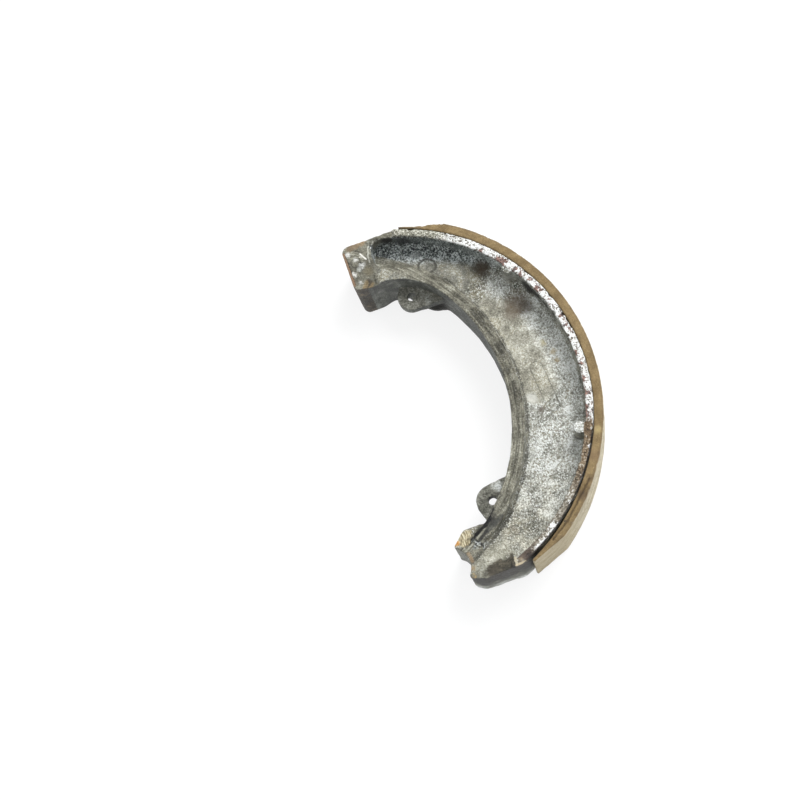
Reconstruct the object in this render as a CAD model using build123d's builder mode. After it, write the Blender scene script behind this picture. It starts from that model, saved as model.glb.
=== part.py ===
"""Drum brake shoe: a die-cast aluminium shoe, its bonded friction lining and a steel cam plate.

The origin is on the drum's axis, level with the lower edge of the shoe. +X points at the
middle of the lining, +Y at the cam end and +Z along the drum's axis. All sizes are in mm.
"""

import os
from math import cos, radians, sin

from build123d import *

os.makedirs("parts", exist_ok=True)

# Drum and lining
drum_radius = 80.0
shoe_width = 30.0
lining_thickness = 3.8
lining_end_thickness = 1.2
lining_cam_angle = 70.5
cam_taper_angle = 57.0
lining_pivot_angle = -64.8
pivot_taper_angle = -54.5
lift_angle = -22.0
lift_radius_gain = 4.5

# Rim, the platform that carries the lining
rim_thickness = 3.2
land_start = 22.5

# End blocks, each set in from the drum and with its own depth towards the middle of the drum
end_step = 1.5
cam_face = 1.0
cam_end_inset = 7.4
cam_end_depth = 19.0
cam_corner_radius = 2.6
cam_heel_radius = 2.4
prong_tip = 4.2
pivot_end_inset = 8.4
pivot_end_depth = 20.1
inner_prong_radius = 6.0
outer_prong_radius = 8.0

# Inner edge of the shoe: a large arc closed by a straight side at each end
section_depth = 35.7
bore_centre = (-26.0, 3.4)
bore_cam_radius = 26.0
bore_pivot_radius = 14.0

# Web, bead and pockets
web_thickness = 6.0
bead_width = 5.0
bead_step = 3.5
bead_ramp_start = 16.0
bead_ramp_end = 34.0
cove_radius = 4.5
lower_floor_radius = 2.5
pocket_corner_radius = 5.0
cam_block_length = 12.0
notch_wall = 6.3

# Slopes on which the upper floor climbs to the end blocks: how far in from the rim and at what
# angle the foot lies, which way the slope falls, and its climb per mm
cam_bank = (3.3, 67.7, 63.0, 0.5)
cam_ramp = (18.3, 39.8, -27.0, 0.5)
pivot_ramp = (6.8, -61.1, 20.0, 0.55)

# Anchor notch
anchor_radius = 7.7
anchor_x = 0.2
anchor_inset = 8.0

# Spring ears: x of the eye, its distance inside the end block, and the two roots from the eye
ear_thickness = 4.6
ear_root_radius = 2.0
spring_hole_diameter = 3.5
cam_ear_x = 21.1
cam_ear_gap = 6.2
cam_ear_radius = 5.6
cam_ear_roots = ((11.9, -3.9), (0.4, 7.6))
pivot_ear_x = 23.8
pivot_ear_gap = 9.3
pivot_ear_radius = 6.4
pivot_ear_roots = ((11.7, 5.7), (-1.3, -10.3))

# Ejector pads against the inside of the rim: inset from the rim and angle
pad_radius = 2.4
pad_drop = 0.6
pads = ((0.0, 34.0), (2.0, -24.5))

# Cam plate, let into the block's face
plate_thickness = 1.0
plate_margin = 2.0

# Worked out from the above
rim_radius = drum_radius - lining_thickness
rim_inner = rim_radius - rim_thickness
cam_end = drum_radius - cam_end_inset
pivot_end = drum_radius - pivot_end_inset
bore_radius = drum_radius - section_depth - bore_centre[0]
bore_cam_side = cam_end - cam_end_depth
bore_pivot_side = pivot_end - pivot_end_depth
anchor_centre = (anchor_x, anchor_inset - pivot_end)
cam_ear_centre = (cam_ear_x, bore_cam_side - cam_ear_gap)
pivot_ear_centre = (pivot_ear_x, pivot_ear_gap - bore_pivot_side)
plate_start = bore_cam_side + plate_margin
plate_length = cam_end_depth - 2 * plate_margin
middle = shoe_width / 2
web_top = middle + web_thickness / 2
web_bottom = middle - web_thickness / 2
block_top = shoe_width - end_step
block_height = block_top - end_step
boss_radius = anchor_radius + notch_wall
lift_radius = rim_radius + lift_radius_gain
beyond = 2 * drum_radius


def polar(radius, angle, centre=(0.0, 0.0)):
    """Point at a radius and an angle in degrees from a centre."""
    turn = radians(angle)
    return (centre[0] + radius * cos(turn), centre[1] + radius * sin(turn))


def slope(inset, angle, turn, climb):
    """Plane that leaves the web's upper face at a foot point and falls towards turn."""
    foot = polar(rim_inner - inset, angle)
    fall = polar(climb, turn)
    return Plane(origin=(foot[0], foot[1], web_top), z_dir=(fall[0], fall[1], 1.0))


def ear(centre, radius, roots):
    """Spring ear in the middle plane: a round eye blended to two points inside the bead."""
    with BuildSketch(Plane.XY.offset(middle - ear_thickness / 2)) as outline:
        with Locations(centre):
            Circle(radius)
        with Locations(*((centre[0] + dx, centre[1] + dy) for dx, dy in roots)):
            Circle(ear_root_radius)
        make_hull()
    return extrude(outline.sketch, amount=ear_thickness)


# Space inside the shoe's inner edge
with BuildSketch() as bore:
    with Locations(bore_centre):
        Circle(bore_radius)
    with Locations((0, -bore_pivot_side)):
        Rectangle(
            beyond,
            bore_cam_side + bore_pivot_side,
            align=(Align.CENTER, Align.MIN),
            mode=Mode.INTERSECT,
        )
    corners = bore.vertices().filter_by(lambda corner: corner.X > 0).sort_by(Axis.Y)
    fillet(corners[-1], bore_cam_radius)
    fillet(corners[0], bore_pivot_radius)

# Plan of the shoe, seen along the drum's axis
with BuildSketch() as shoe_plan:
    Circle(rim_radius)
    with Locations((cam_face, -pivot_end)):
        Rectangle(beyond, cam_end + pivot_end, align=Align.MIN, mode=Mode.INTERSECT)
    add(bore.sketch, mode=Mode.SUBTRACT)
    Rectangle(prong_tip, beyond, align=(Align.MIN, Align.MAX), mode=Mode.SUBTRACT)
    for corner, corner_radius in (
        ((cam_face, cam_end), cam_corner_radius),
        ((cam_face, bore_cam_side), cam_heel_radius),
        ((prong_tip, -bore_pivot_side), inner_prong_radius),
        ((prong_tip, -pivot_end), outer_prong_radius),
    ):
        fillet(shoe_plan.vertices().sort_by_distance(corner)[0], corner_radius)
    with Locations(anchor_centre):
        Circle(anchor_radius, mode=Mode.SUBTRACT)

# Band between the rim and the bead, closed by the cam block and by the boss round the notch
with BuildSketch() as pocket_plan:
    Circle(rim_inner)
    Rectangle(beyond, 2 * beyond, align=(Align.MAX, Align.CENTER), mode=Mode.SUBTRACT)
    Rectangle(cam_block_length, beyond, align=(Align.MIN, Align.MIN), mode=Mode.SUBTRACT)
    with Locations(anchor_centre):
        Circle(boss_radius, mode=Mode.SUBTRACT)
    offset(bore.sketch, amount=bead_width, mode=Mode.SUBTRACT)

with BuildPart() as upper_pocket:
    with BuildSketch(Plane.XY.offset(web_top)):
        add(pocket_plan.sketch)
    extrude(amount=shoe_width)
    fillet(upper_pocket.edges().filter_by(Axis.Z).sort_by(Axis.X)[:4], pocket_corner_radius)
    fillet(upper_pocket.faces().sort_by(Axis.Z)[0].edges(), cove_radius)

with BuildPart() as lower_pocket:
    with BuildSketch(Plane.XY.offset(web_bottom)):
        add(pocket_plan.sketch)
    extrude(amount=-shoe_width)
    fillet(lower_pocket.edges().filter_by(Axis.Z).sort_by(Axis.X)[:4], pocket_corner_radius)
    fillet(lower_pocket.faces().sort_by(Axis.Z)[-1].edges(), lower_floor_radius)

# Banks of the upper floor: at the cam end it rises to the bead and to the block at once
with BuildPart() as cam_floor:
    with BuildSketch(Plane.XY.offset(middle)):
        add(pocket_plan.sketch)
    extrude(amount=block_top - middle)
    split(bisect_by=slope(*cam_bank), keep=Keep.BOTTOM)
    split(bisect_by=slope(*cam_ramp), keep=Keep.BOTTOM)
    split(bisect_by=Plane.XZ, keep=Keep.BOTTOM)

with BuildPart() as pivot_floor:
    with BuildSketch(Plane.XY.offset(middle)):
        add(pocket_plan.sketch)
    extrude(amount=block_top - middle)
    split(bisect_by=slope(*pivot_ramp), keep=Keep.BOTTOM)
    split(bisect_by=Plane.XZ, keep=Keep.TOP)

# Relief that leaves the bead lower than the end blocks, with a ramp at each end
with BuildPart() as bead_relief:
    with BuildSketch(Plane.XZ):
        with BuildLine():
            Polyline(
                (bead_ramp_start, block_top),
                (bead_ramp_end, shoe_width - bead_step),
                (beyond, shoe_width - bead_step),
                (beyond, 2 * shoe_width),
                (bead_ramp_start, 2 * shoe_width),
                close=True,
            )
        make_face()
    extrude(amount=beyond, both=True)
    with BuildSketch():
        Circle(rim_inner)
    extrude(amount=2 * shoe_width, mode=Mode.INTERSECT)

with BuildPart() as shoe_casting:
    with BuildSketch(Plane.XY.offset(end_step)):
        add(shoe_plan.sketch)
    extrude(amount=block_height)
    # Rim land over the full width
    with BuildSketch():
        add(shoe_plan.sketch)
        Circle(rim_inner, mode=Mode.SUBTRACT)
        with Locations((land_start, 0)):
            Rectangle(beyond, beyond, align=(Align.MIN, Align.CENTER), mode=Mode.INTERSECT)
    extrude(amount=shoe_width)
    add(upper_pocket.part, mode=Mode.SUBTRACT)
    add(cam_floor.part)
    add(pivot_floor.part)
    add(lower_pocket.part, mode=Mode.SUBTRACT)
    add(bead_relief.part, mode=Mode.SUBTRACT)
    mirror(bead_relief.part, about=Plane.XY.offset(middle), mode=Mode.SUBTRACT)
    # Ejector pads, on both sides of the web
    with BuildSketch(Plane.XY.offset(pad_drop)):
        with Locations(*(polar(rim_inner - inset, angle) for inset, angle in pads)):
            Circle(pad_radius)
    extrude(amount=shoe_width - 2 * pad_drop)
    # Spring ears
    add(ear(cam_ear_centre, cam_ear_radius, cam_ear_roots))
    add(ear(pivot_ear_centre, pivot_ear_radius, pivot_ear_roots))
    with Locations(cam_ear_centre, pivot_ear_centre):
        Cylinder(spring_hole_diameter / 2, 2 * shoe_width, mode=Mode.SUBTRACT)
    # Recess for the cam plate
    with BuildSketch():
        with Locations((cam_face, plate_start)):
            Rectangle(plate_thickness, plate_length, align=Align.MIN)
    extrude(amount=shoe_width, mode=Mode.SUBTRACT)

with BuildPart() as cam_plate:
    with BuildSketch(Plane.XY.offset(end_step)):
        with Locations((cam_face, plate_start)):
            Rectangle(plate_thickness, plate_length, align=Align.MIN)
    extrude(amount=block_height)

# Lining: bonded along most of the rim, lifted off it on a flatter arc towards the pivot end
lift_centre = polar(-lift_radius_gain, lift_angle)
with BuildPart() as friction_lining:
    with BuildSketch():
        with BuildLine():
            bonded = CenterArc((0, 0), rim_radius, lift_angle, lining_cam_angle - lift_angle)
            lifted = CenterArc(lift_centre, lift_radius, lift_angle, lining_pivot_angle - lift_angle)
            Polyline(
                lifted @ 1,
                polar(lift_radius + lining_end_thickness, lining_pivot_angle, lift_centre),
                polar(lift_radius + lining_thickness, pivot_taper_angle, lift_centre),
            )
            CenterArc(
                lift_centre,
                lift_radius + lining_thickness,
                pivot_taper_angle,
                lift_angle - pivot_taper_angle,
            )
            CenterArc((0, 0), drum_radius, lift_angle, cam_taper_angle - lift_angle)
            Polyline(
                polar(drum_radius, cam_taper_angle),
                polar(rim_radius + lining_end_thickness, lining_cam_angle),
                bonded @ 1,
            )
        make_face()
    extrude(amount=shoe_width)

for name, piece in (
    ("shoe_casting", shoe_casting),
    ("friction_lining", friction_lining),
    ("cam_plate", cam_plate),
):
    piece.part.label = name
    export_step(piece.part, f"parts/{name}.step")
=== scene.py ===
"""Looks of a worn drum brake shoe lying on its side on a pale table.

The CAD frame is kept: the drum's axis is +Z, +X points at the middle of the lining and +Y at
the cam end. Lengths in the code are in millimetres unless a name says otherwise.
"""

import math

import bmesh
import bpy
import numpy as np
from mathutils import Matrix, Vector


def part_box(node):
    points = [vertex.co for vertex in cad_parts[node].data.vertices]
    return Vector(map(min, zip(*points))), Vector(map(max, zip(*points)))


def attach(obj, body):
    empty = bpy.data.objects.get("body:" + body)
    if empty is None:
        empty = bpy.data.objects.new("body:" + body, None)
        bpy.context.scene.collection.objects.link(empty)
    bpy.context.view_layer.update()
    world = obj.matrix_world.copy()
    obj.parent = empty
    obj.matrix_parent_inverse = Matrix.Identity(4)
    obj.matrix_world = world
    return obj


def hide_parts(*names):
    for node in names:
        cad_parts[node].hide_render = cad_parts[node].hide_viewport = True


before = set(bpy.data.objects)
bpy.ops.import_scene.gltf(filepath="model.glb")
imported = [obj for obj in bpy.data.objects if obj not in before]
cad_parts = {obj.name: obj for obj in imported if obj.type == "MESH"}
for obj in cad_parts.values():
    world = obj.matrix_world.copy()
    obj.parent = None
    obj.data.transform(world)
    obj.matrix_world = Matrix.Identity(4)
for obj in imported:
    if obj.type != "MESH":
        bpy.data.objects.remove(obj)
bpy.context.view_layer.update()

MM = 0.001
# Arc of the shoe's inner edge
BORE_CENTRE = (-26.0, 3.4)
BORE_RADIUS = 70.3
# Round-ended outline and rings pressed into the web: place, turn, width and straight length
SLOT_CENTRE = (58.2, -6.6, 0.0)
SLOT_TURN = math.radians(3.5)
SLOT_WIDTH = 5.0
SLOT_STRAIGHT = 16.4
STAMP_CENTRE = (31.1, 56.0, 0.0)
PIN_MARKS = ((4.9, 64.6, 0.0), (28.2, -56.6, 0.0))


class Graph:
    """Short names for the shader nodes of one tree. Every method gives back an output socket."""

    def __init__(self, tree):
        self.tree = tree

    def node(self, kind, inputs=(), **settings):
        """New node of a kind, with its inputs linked or set, and its settings."""
        made = self.tree.nodes.new("ShaderNode" + kind)
        for name, value in settings.items():
            setattr(made, name, value)
        for key, value in dict(inputs).items():
            if isinstance(value, bpy.types.NodeSocket):
                self.tree.links.new(value, made.inputs[key])
            else:
                made.inputs[key].default_value = value
        return made

    def math(self, operation, a, b=0.0):
        return self.node("Math", {0: a, 1: b}, operation=operation).outputs[0]

    def product(self, *factors):
        total = factors[0]
        for factor in factors[1:]:
            total = self.math("MULTIPLY", total, factor)
        return total

    def largest(self, *values):
        total = values[0]
        for value in values[1:]:
            total = self.math("MAXIMUM", total, value)
        return total

    def step(self, value, low, high, start=0.0, end=1.0):
        """Smooth step from start at low to end at high."""
        ins = {"Value": value, "From Min": low, "From Max": high, "To Min": start, "To Max": end}
        return self.node("MapRange", ins, interpolation_type="SMOOTHSTEP").outputs["Result"]

    def window(self, value, low, high, soft):
        """One between low and high, fading to nothing over soft outside."""
        rise = self.step(value, low - soft, low)
        fall = self.step(value, high, high + soft, 1.0, 0.0)
        return self.product(rise, fall)

    def noise(self, vector, scale, detail=4.0, roughness=0.55, output="Fac"):
        """Noise with features about one over scale wide, in the vector's units."""
        ins = {"Vector": vector, "Scale": scale, "Detail": detail, "Roughness": roughness}
        return self.node("TexNoise", ins).outputs[output]

    def weighed(self, total, *parts, middle=0.5):
        """The total plus every (value, weight), each value counted from its middle."""
        for value, weight in parts:
            if middle:
                value = self.math("SUBTRACT", value, middle)
            ins = {0: value, 1: weight, 2: total}
            total = self.node("Math", ins, operation="MULTIPLY_ADD").outputs[0]
        return total

    def ramp(self, value, stops):
        """Colour along a run of (level, colour) stops."""
        made = self.node("ValToRGB", {0: value})
        points = made.color_ramp.elements
        points[0].position, points[-1].position = stops[0][0], stops[-1][0]
        for level, _ in stops[1:-1]:
            points.new(level)
        for point, (_, colour) in zip(points, stops):
            point.color = (*colour, 1.0)
        return made.outputs["Color"]

    def mix(self, factor, a, b, blend="MIX"):
        """Colour a turning into colour b, each a socket or three numbers, by the factor."""

        def colour(value):
            return value if isinstance(value, bpy.types.NodeSocket) else (*value, 1.0)

        ins = {0: factor, 6: colour(a), 7: colour(b)}
        made = self.node("Mix", ins, data_type="RGBA", blend_type=blend)
        return made.outputs[2]

    def spot(self, place, centre, radius, soft):
        """One inside a ball of the given radius, fading over soft."""
        ins = {0: place, 1: centre}
        away = self.node("VectorMath", ins, operation="DISTANCE").outputs["Value"]
        return self.step(away, radius, radius + soft, 1.0, 0.0)

    def scatter(self, place, scale, amount):
        """The place shifted by noise, so that marks get ragged outlines."""
        colour = self.noise(place, scale, 4.0, 0.65, output="Color")
        ins = {0: colour, 1: (0.5, 0.5, 0.5)}
        centred = self.node("VectorMath", ins, operation="SUBTRACT").outputs[0]
        ins = {0: centred, "Scale": amount}
        shift = self.node("VectorMath", ins, operation="SCALE").outputs[0]
        return self.node("VectorMath", {0: place, 1: shift}, operation="ADD").outputs[0]

    def turned(self, place, degrees, scale):
        """The place turned about Z and stretched, for streaks."""
        ins = {"Vector": place, "Rotation": (0.0, 0.0, math.radians(degrees)), "Scale": scale}
        return self.node("Mapping", ins).outputs[0]

    def stroke(self, place, start, end, width, soft):
        """One along the straight line from start to end, fading over soft."""
        run = Vector(end) - Vector(start)
        aim = tuple(run.normalized())
        off = self.node("VectorMath", {0: place, 1: start}, operation="SUBTRACT").outputs[0]
        along = self.node("VectorMath", {0: off, 1: aim}, operation="DOT_PRODUCT").outputs["Value"]
        along = self.node("Clamp", {"Value": along, "Min": 0.0, "Max": run.length}).outputs[0]
        foot = self.node("VectorMath", {0: aim, "Scale": along}, operation="SCALE").outputs[0]
        away = self.node("VectorMath", {0: off, 1: foot}, operation="DISTANCE").outputs["Value"]
        return self.step(away, width, width + soft, 1.0, 0.0)

    def ring(self, flat, centre, radius, width):
        """One on a thin circle round centre."""
        away = self.node("VectorMath", {0: flat, 1: centre}, operation="DISTANCE").outputs["Value"]
        off = self.math("ABSOLUTE", self.math("SUBTRACT", away, radius))
        return self.step(off, width * 0.4, width * 1.6, 1.0, 0.0)

    def slot_outline(self, flat):
        """One on a thin outline with round ends along the middle of the web."""
        ins = {"Vector": flat, "Location": SLOT_CENTRE, "Rotation": (0.0, 0.0, SLOT_TURN)}
        local = self.node("Mapping", ins, vector_type="TEXTURE").outputs[0]
        axes = self.node("SeparateXYZ", {0: local}).outputs
        over = self.math("SUBTRACT", self.math("ABSOLUTE", axes["Y"]), SLOT_STRAIGHT / 2)
        over = self.math("MAXIMUM", over, 0.0)
        corner = self.node("CombineXYZ", {"X": axes["X"], "Y": over}).outputs[0]
        away = self.node("VectorMath", {0: corner}, operation="LENGTH").outputs["Value"]
        off = self.math("ABSOLUTE", self.math("SUBTRACT", away, SLOT_WIDTH / 2))
        return self.step(off, 0.08, 0.34, 1.0, 0.0)

    def bump(self, height, distance):
        """Normal for a relief whose full height is the distance, in metres."""
        ins = {"Height": height, "Distance": distance, "Strength": 1.0}
        return self.node("Bump", ins).outputs["Normal"]

    def flat(self, place):
        """The place laid down on the table plane, so that a mark reaches all heights."""
        return self.node("VectorMath", {0: place, 1: (1.0, 1.0, 0.0)}, operation="MULTIPLY").outputs[0]

    def paint(self, mask, strength, tone, colour):
        """The tone covered by a colour where the mask is, as strongly as strength says."""
        return self.mix(self.math("MULTIPLY", mask, strength), tone, colour)

    def tint(self, tone, colour):
        """The tone multiplied by a colour."""
        return self.mix(1.0, tone, colour, "MULTIPLY")


def group(name, inputs, outputs):
    """New shader node group; sockets are given as (name, kind) pairs."""
    tree = bpy.data.node_groups.new(name, "ShaderNodeTree")
    for socket, kind in inputs:
        tree.interface.new_socket(socket, in_out="INPUT", socket_type="NodeSocket" + kind)
    for socket, kind in outputs:
        tree.interface.new_socket(socket, in_out="OUTPUT", socket_type="NodeSocket" + kind)
    return tree, tree.nodes.new("NodeGroupInput"), tree.nodes.new("NodeGroupOutput")


def place_group():
    """Where a point is on the shoe: its place in mm, its radius and angle about the drum's axis, its
    depth behind the shoe's inner edge, its height and how far its surface faces up."""
    tree, _, end = group(
        "shoe_place",
        (),
        (
            ("Place", "Vector"),
            ("Radius", "Float"),
            ("Angle", "Float"),
            ("Depth", "Float"),
            ("X", "Float"),
            ("Y", "Float"),
            ("Height", "Float"),
            ("Up", "Float"),
        ),
    )
    g = Graph(tree)
    coordinates = g.node("TexCoord")
    ins = {0: coordinates.outputs["Object"], "Scale": 1000.0}
    place = g.node("VectorMath", ins, operation="SCALE").outputs[0]
    axes = g.node("SeparateXYZ", {0: place}).outputs
    flat = g.node("CombineXYZ", {"X": axes["X"], "Y": axes["Y"]}).outputs[0]
    radius = g.node("VectorMath", {0: flat}, operation="LENGTH").outputs["Value"]
    turn = g.math("ARCTAN2", axes["Y"], axes["X"])
    ins = {0: flat, 1: (*BORE_CENTRE, 0.0)}
    depth = g.node("VectorMath", ins, operation="DISTANCE").outputs["Value"]
    up = g.node("SeparateXYZ", {0: coordinates.outputs["Normal"]}).outputs["Z"]
    for name, socket in (
        ("Place", place),
        ("Radius", radius),
        ("Angle", g.math("MULTIPLY", turn, 180.0 / math.pi)),
        ("Depth", g.math("SUBTRACT", depth, BORE_RADIUS)),
        ("X", axes["X"]),
        ("Y", axes["Y"]),
        ("Height", axes["Z"]),
        ("Up", up),
    ):
        tree.links.new(socket, end.inputs[name])
    return tree


PLACE = place_group()


def material(name, metallic, roughness):
    """Material with a place group, and the graph that colours it."""
    made = bpy.data.materials.new(name)
    made.use_nodes = True
    g = Graph(made.node_tree)
    shader = made.node_tree.nodes["Principled BSDF"]
    shader.inputs["Metallic"].default_value = metallic
    shader.inputs["Roughness"].default_value = roughness
    where = g.node("Group", node_tree=PLACE).outputs
    return made, g, shader, where


# Runs of colour from pitted and dirty to bright and crusted, as (level, colour)
GREY = (
    (0.06, (0.018, 0.017, 0.013)),
    (0.32, (0.105, 0.104, 0.083)),
    (0.50, (0.250, 0.246, 0.205)),
    (0.66, (0.44, 0.445, 0.400)),
    (0.86, (0.88, 0.90, 0.87)),
)
# Dark stain and painted shade in the hollow, and the crystals behind the inner prong
STAIN_AND_SHADE = (
    (0.10, (0.005, 0.006, 0.007)),
    (0.34, (0.030, 0.037, 0.038)),
    (0.50, (0.112, 0.126, 0.118)),
    (0.66, (0.29, 0.32, 0.305)),
    (0.86, (0.74, 0.78, 0.77)),
)
GRIME = (
    (0.08, (0.018, 0.015, 0.009)),
    (0.34, (0.090, 0.084, 0.060)),
    (0.50, (0.205, 0.196, 0.148)),
    (0.66, (0.36, 0.352, 0.278)),
    (0.88, (0.80, 0.79, 0.70)),
)
# Soot and painted shade on the bore walls, and dark dirt on the sill
SOOT_AND_SHADE = (
    (0.15, (0.010, 0.010, 0.008)),
    (0.42, (0.050, 0.053, 0.045)),
    (0.60, (0.115, 0.120, 0.103)),
    (0.85, (0.27, 0.28, 0.25)),
)
CRUST = (
    (0.18, (0.030, 0.020, 0.014)),
    (0.34, (0.20, 0.165, 0.125)),
    (0.46, (0.60, 0.58, 0.53)),
    (0.60, (0.92, 0.93, 0.91)),
)
RUST = (
    (0.14, (0.026, 0.015, 0.008)),
    (0.38, (0.135, 0.088, 0.045)),
    (0.54, (0.265, 0.190, 0.110)),
    (0.70, (0.46, 0.40, 0.31)),
    (0.88, (0.85, 0.83, 0.78)),
)
FLAKE = ((0.30, (0.035, 0.014, 0.010)), (0.50, (0.16, 0.065, 0.042)), (0.72, (0.32, 0.15, 0.10)))
GOLD = ((0.34, (0.075, 0.048, 0.020)), (0.50, (0.50, 0.42, 0.25)), (0.60, (0.86, 0.80, 0.58)))


class Casting:
    """Noises, ragged places and facing masks that the casting's finishes share."""

    def __init__(self, g, at):
        place, radius, angle, up = at["Place"], at["Radius"], at["Angle"], at["Up"]
        self.broad, self.patches = g.noise(place, 0.06, 2.0), g.noise(place, 0.20, 4.0, 0.6)
        self.specks, self.grain = g.noise(place, 1.35, 3.0, 0.62), g.noise(place, 2.6, 2.0, 0.6)
        self.sparks = g.step(g.noise(place, 1.7, 1.5, 0.5), 0.60, 0.64)
        self.pits = g.step(g.noise(place, 1.1, 2.0, 0.5), 0.40, 0.35)
        across, along = g.math("MULTIPLY", at["Depth"], 1.5), g.math("MULTIPLY", angle, 0.11)
        self.streaks = g.noise(g.node("CombineXYZ", {"X": across, "Y": along}).outputs[0], 1.0, 3.0, 0.6)
        self.ragged = g.scatter(place, 0.5, 3.0)
        self.flat = g.flat(self.ragged)
        self.plan = g.node("CombineXYZ", {"X": at["X"], "Y": at["Y"]}).outputs[0]
        self.facing, self.under = g.step(up, 0.3, 0.75), g.step(up, -0.3, -0.75)
        self.wall = g.product(g.step(up, 0.75, 0.3), g.step(up, -0.75, -0.3))
        self.steep = g.product(g.step(up, 0.35, 0.1), g.step(up, -0.35, -0.1))
        self.turn = g.weighed(angle, (self.broad, 30.0), (self.patches, 16.0))
        self.reach = g.weighed(radius, (self.patches, 7.0), (self.specks, 2.5))


def web_metal(g, at, c):
    """The casting's grey. On the web it is speckled and bright towards the anchor end and beside the
    rim, and calm and warm through the middle. Later finishes read its masks and levels from c."""
    web = g.product(g.step(at["Depth"], 5.0, 7.0), g.step(at["Height"], 16.0, 17.5), c.facing)
    silver = g.product(web, g.step(c.turn, -9.0, -17.0), g.step(c.turn, -66.0, -46.0, 0.55, 1.0))
    beside = g.product(web, g.step(c.reach, 60.0, 65.5), g.window(at["Angle"], -42.0, 25.0, 6.0))
    calm = g.product(web, g.step(c.reach, 66.5, 61.5), g.window(c.turn, -12.0, 34.0, 6.0))
    sparkle = g.spot(c.ragged, (54.6, 38.9, 17.5), 2.0, 6.5)
    pale = g.product(web, g.window(c.turn, 40.0, 56.0, 9.0), g.window(at["Depth"], 8.0, 13.0, 3.0))
    bright = g.largest(g.math("MULTIPLY", silver, 0.19), g.math("MULTIPLY", beside, 0.23))
    light = g.weighed(bright, (calm, 0.01), (sparkle, 0.22), (pale, 0.01), middle=0.0)
    # Less speckle on walls, through the calm middle and next to the cam block
    near_cam = g.product(c.facing, g.step(c.turn, 34.0, 46.0), 0.75)
    even = g.step(g.largest(calm, c.steep, near_cam), 0.0, 1.0)
    tea = g.product(web, g.step(c.turn, -36.0, -60.0, 0.0, 0.55), g.step(c.patches, 0.42, 0.56, 0.2, 1.0))
    cloud = g.weighed(g.math("ADD", light, 0.52), (c.patches, 0.7), (c.broad, 0.3))
    gain = g.step(g.largest(even, tea), 0.0, 1.0, 1.1, 0.6)
    level = g.weighed(cloud, (c.specks, gain), (c.grain, 0.5))
    level = g.weighed(level, (c.sparks, g.step(even, 0.0, 1.0, 0.40, 0.07)), middle=0.15)
    level = g.weighed(level, (c.pits, g.step(even, 0.0, 1.0, -0.10, -0.07)), middle=0.12)
    warm = g.product(g.step(c.patches, 0.44, 0.60), g.step(level, 0.75, 0.5))
    warm = g.largest(warm, tea, g.math("MULTIPLY", calm, 0.35))
    tone = g.mix(warm, g.ramp(level, GREY), (1.0, 0.93, 0.78), "MULTIPLY")
    c.web, c.calm, c.cloud, c.level = web, calm, cloud, level
    c.quiet = g.weighed(cloud, (c.specks, 0.75), (c.grain, 0.4))
    return tone


def hollow_stain_and_shade(g, at, c, tone):
    """Dark stain in the hollow against the rim, with pale grains in it, deepest at the cam end, and
    painted shade that darkens it towards the rim wall.
    """
    inward = g.math("SUBTRACT", c.reach, g.step(at["Angle"], 26.0, 74.0, 71.2, 62.5))
    hollow = g.product(
        g.step(inward, 0.0, 4.5),
        g.step(at["Radius"], 73.6, 73.0),
        g.step(at["Angle"], 2.0, 26.0, 0.0, 1.0),
        g.step(at["Height"], 15.5, 17.0),
        g.step(at["X"], 10.5, 12.0),
        g.math("SUBTRACT", 1.0, g.spot(c.ragged, (60.0, 40.0, 20.0), 2.5, 4.5)),
    )
    # Painted shade: the stain is lighter away from the rim wall and darkest against it
    dim = g.step(inward, 3.0, 9.0, 0.12, 0.0)
    dim = g.weighed(dim, (c.specks, g.step(c.steep, 0.0, 1.0, 1.7, 1.0)))
    return g.mix(hollow, tone, g.ramp(g.math("ADD", c.level, dim), STAIN_AND_SHADE))


def olive_grime(g, at, c, tone):
    """Olive grime with streaks along the arc: on the bead, the cam block, the notch end and the foot
    of the web, and duller on the shoulder between the cam block and the rim's start."""
    x, y, depth, height = at["X"], at["Y"], at["Depth"], at["Height"]
    bead = g.product(g.window(depth, -1.0, 4.9, 0.5), c.facing, g.step(height, 17.5, 19.0))
    dull = g.product(bead, g.window(c.turn, -12.0, 42.0, 10.0))
    block = g.product(g.step(x, 13.0, 10.5), g.step(y, 47.0, 50.0), c.facing)
    notch = g.product(g.step(y, -56.0, -62.0), g.step(x, 30.0, 20.0), c.facing)
    foot = g.product(g.window(depth, -1.0, 3.6, 2.4), g.window(at["Angle"], 46.0, 78.0, 6.0), c.facing)
    dirty = g.largest(g.math("MULTIPLY", bead, 0.85), g.math("MULTIPLY", block, 0.9))
    dirty = g.largest(dirty, g.math("MULTIPLY", notch, 0.7), g.math("MULTIPLY", foot, 0.9))
    soiled = g.weighed(c.cloud, (c.specks, 0.5), (c.grain, 0.35))
    soiled = g.weighed(soiled, (dull, -0.12), (block, -0.05), (foot, -0.06), middle=0.0)
    lined = g.product(g.math("SUBTRACT", c.streaks, 0.5), g.largest(bead, foot))
    soiled = g.weighed(soiled, (lined, 1.0), middle=0.0)
    tone = g.mix(dirty, tone, g.ramp(soiled, GRIME))
    shoulder = g.product(
        g.step(x, 9.5, 12.0),
        g.step(x, 22.0, 21.2),
        g.step(at["Radius"], 70.0, 71.5),
        g.step(y, 50.0, 55.0),
        g.step(height, 22.0, 25.0),
    )
    return g.paint(shoulder, 0.85, tone, g.ramp(g.math("SUBTRACT", c.quiet, 0.13), GRIME))


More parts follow.
